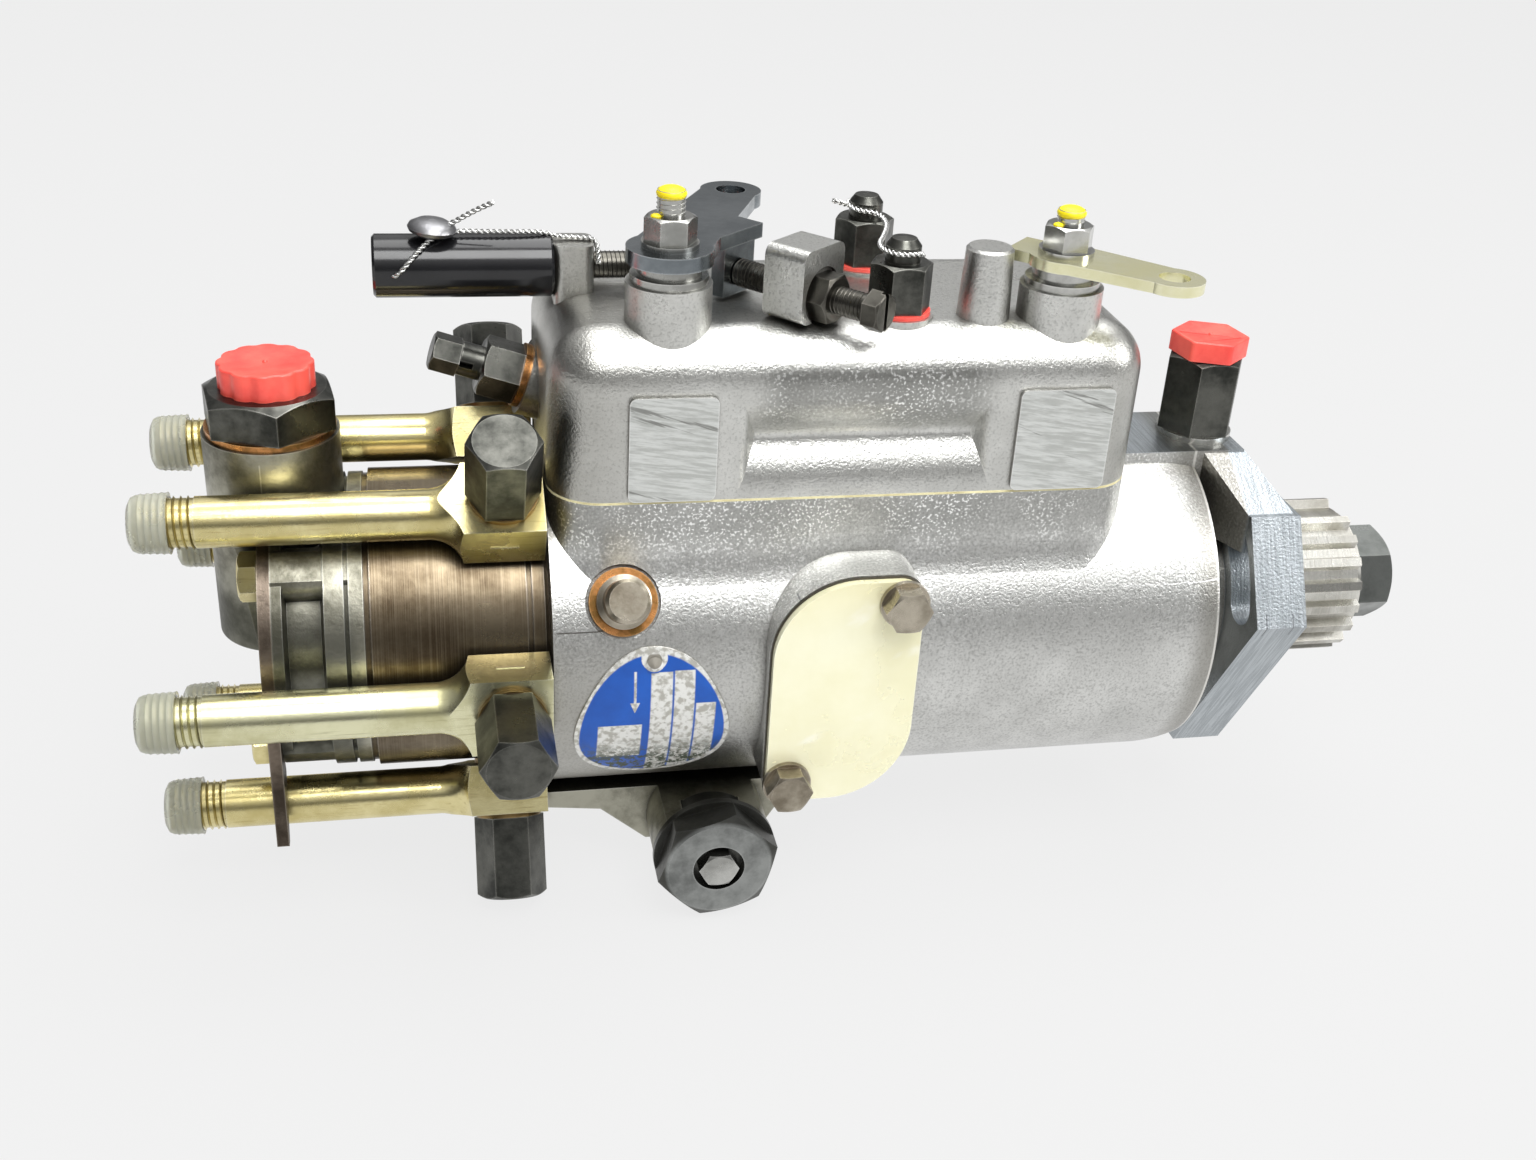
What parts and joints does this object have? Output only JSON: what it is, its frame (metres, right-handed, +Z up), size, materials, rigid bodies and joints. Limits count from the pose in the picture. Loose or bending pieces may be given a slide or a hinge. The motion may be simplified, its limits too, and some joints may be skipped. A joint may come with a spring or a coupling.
{
  "type": "diesel fuel injection pump",
  "caption": "Rotary distributor fuel-injection pump: flanged barrel housing with a governor cover and two control levers on top, and high-pressure outlets round the hydraulic head.",
  "frame": {"origin": "Where the pump axis meets the engine-side face of the mounting flange.", "axes": "+X along the pump axis out to the drive hub, +Z up through the governor cover, -Y out through the inspection cover."},
  "size_m": [0.3145, 0.1396, 0.1737],
  "materials": {
    "cast_aluminium": "as-cast, lightly blasted",
    "cover_casting": "die-cast, speckled, machined pads",
    "end_casting": "as-cast with machined rims",
    "gasket_paper": "pressed paper",
    "gasket_dark": "moulded",
    "bright_steel": "ground",
    "head_steel": "turned, oiled",
    "black_steel": "black phosphate",
    "gold_zinc": "yellow zinc plate",
    "pale_zinc": "pale yellow zinc plate",
    "copper": "soft copper",
    "red_plastic": "moulded",
    "clear_plastic": "moulded, translucent",
    "plate_print": "printed aluminium",
    "red_fibre": "hard fibre",
    "inner_steel": "hardened and ground"
  },
  "bodies": {
    "pump_body": {"pump_housing": "cast_aluminium", "governor_cover": "cover_casting", "cover_gasket": "gasket_paper", "cover_screws": "black_steel", "cover_screw_washers": "red_fibre", "inspection_cover": "pale_zinc", "inspection_gasket": "gasket_dark", "inspection_screws": "bright_steel", "name_plate": "plate_print", "hydraulic_head": "head_steel", "banjo_bolts": "black_steel", "banjo_washers": "copper", "outlet_caps": "clear_plastic", "head_locking_screws": "bright_steel", "copper_washers": "copper", "end_plate": "end_casting", "end_plate_screws": "gold_zinc", "end_keep_plate": "bright_steel", "inlet_union": "black_steel", "blanking_caps": "red_plastic", "vent_body": "black_steel", "leak_off_union": "black_steel", "leak_off_washer": "bright_steel", "advance_housing": "end_casting", "advance_cap": "bright_steel", "advance_cap_screw": "bright_steel", "adjusting_screws": "black_steel", "max_speed_sleeve": "black_steel", "advance_spring": "inner_steel", "governor_spring": "inner_steel", "outlet_adaptor_1": "gold_zinc", "outlet_adaptor_2": "gold_zinc", "outlet_adaptor_3": "gold_zinc", "outlet_adaptor_4": "gold_zinc", "outlet_adaptor_5": "gold_zinc", "outlet_adaptor_6": "gold_zinc"},
    "drive_line": {"drive_shaft": "inner_steel", "drive_hub": "head_steel", "drive_bolt": "black_steel", "weight_retainer": "inner_steel", "pumping_rotor": "inner_steel", "transfer_rotor": "inner_steel"},
    "sleeve": {"thrust_sleeve": "inner_steel"},
    "bob_1": {"governor_weight_1": "inner_steel"},
    "bob_2": {"governor_weight_2": "inner_steel"},
    "bob_3": {"governor_weight_3": "inner_steel"},
    "bob_4": {"governor_weight_4": "inner_steel"},
    "plunger_a": {"plunger_1": "inner_steel"},
    "plunger_b": {"plunger_2": "inner_steel"},
    "governor_lever": {"governor_arm": "inner_steel"},
    "valve": {"metering_valve": "inner_steel"},
    "piston": {"advance_piston": "inner_steel"},
    "cam": {"cam_ring": "inner_steel"},
    "throttle": {"throttle_shaft": "bright_steel", "throttle_lever": "black_steel", "throttle_fittings": "bright_steel"},
    "shut_off": {"shut_off_shaft": "bright_steel", "shut_off_lever": "pale_zinc", "shut_off_fittings": "bright_steel"},
    "bleed_screw": {"vent_screw": "black_steel"}
  },
  "joints": [
    {"name": "drive_spin", "type": "hinge", "parent": "pump_body", "child": "drive_line", "pos_m": [0, 0, 0], "axis": [1, 0, 0], "continuous": true},
    {"name": "sleeve_slide", "type": "slide", "parent": "drive_line", "child": "sleeve", "axis": [-1, 0, 0], "range_m": [0, 0.0027]},
    {"name": "bob_swing_1", "type": "hinge", "parent": "drive_line", "child": "bob_1", "pos_m": [-0.0622, 0, 0.026], "axis": [0, 1, 0], "range_deg": [0, 12]},
    {"name": "bob_swing_2", "type": "hinge", "parent": "drive_line", "child": "bob_2", "pos_m": [-0.0622, -0.026, 0], "axis": [0, 0, 1], "range_deg": [0, 12]},
    {"name": "bob_swing_3", "type": "hinge", "parent": "drive_line", "child": "bob_3", "pos_m": [-0.0622, 0, -0.026], "axis": [0, -1, 0], "range_deg": [0, 12]},
    {"name": "bob_swing_4", "type": "hinge", "parent": "drive_line", "child": "bob_4", "pos_m": [-0.0622, 0.026, 0], "axis": [0, 0, -1], "range_deg": [0, 12]},
    {"name": "plunger_a_slide", "type": "slide", "parent": "drive_line", "child": "plunger_a", "axis": [0, 0, 1], "range_m": [0, 0.0015]},
    {"name": "plunger_b_slide", "type": "slide", "parent": "drive_line", "child": "plunger_b", "axis": [0, 0, -1], "range_m": [0, 0.0015]},
    {"name": "governor_arm_swing", "type": "hinge", "parent": "pump_body", "child": "governor_lever", "pos_m": [-0.089, 0, 0.05], "axis": [0, 1, 0], "range_deg": [0, 4], "deforming": ["governor_spring"]},
    {"name": "metering_valve_turn", "type": "hinge", "parent": "pump_body", "child": "valve", "pos_m": [-0.1682, 0, 0.03], "axis": [0, 0, 1], "range_deg": [0, 14]},
    {"name": "advance_slide", "type": "slide", "parent": "pump_body", "child": "piston", "axis": [0, -1, 0], "range_m": [0, 0.004], "deforming": ["advance_spring"]},
    {"name": "cam_turn", "type": "hinge", "parent": "pump_body", "child": "cam", "pos_m": [-0.1432, 0, 0], "axis": [1, 0, 0], "range_deg": [-5, 0]},
    {"name": "throttle_swing", "type": "hinge", "parent": "pump_body", "child": "throttle", "pos_m": [-0.1555, -0.019, 0.0943], "axis": [0, 0, 1], "range_deg": [0, 45]},
    {"name": "shut_off_swing", "type": "hinge", "parent": "pump_body", "child": "shut_off", "pos_m": [-0.066, -0.019, 0.0931], "axis": [0, 0, 1], "range_deg": [-45, 0]},
    {"name": "bleed_screw_slide", "type": "slide", "parent": "pump_body", "child": "bleed_screw", "axis": [-0.9511, 0, 0.309], "range_m": [0, 0.0015]}
  ],
  "couplings": [
    {"joint": "bob_swing_1", "follows": "sleeve_slide", "rad_per_m": 77.247},
    {"joint": "bob_swing_2", "follows": "sleeve_slide", "rad_per_m": 77.247},
    {"joint": "bob_swing_3", "follows": "sleeve_slide", "rad_per_m": 77.247},
    {"joint": "bob_swing_4", "follows": "sleeve_slide", "rad_per_m": 77.247},
    {"joint": "governor_arm_swing", "follows": "sleeve_slide", "rad_per_m": 19.716},
    {"joint": "metering_valve_turn", "follows": "sleeve_slide", "rad_per_m": 89.852},
    {"joint": "cam_turn", "follows": "advance_slide", "rad_per_m": -20.625}
  ]
}
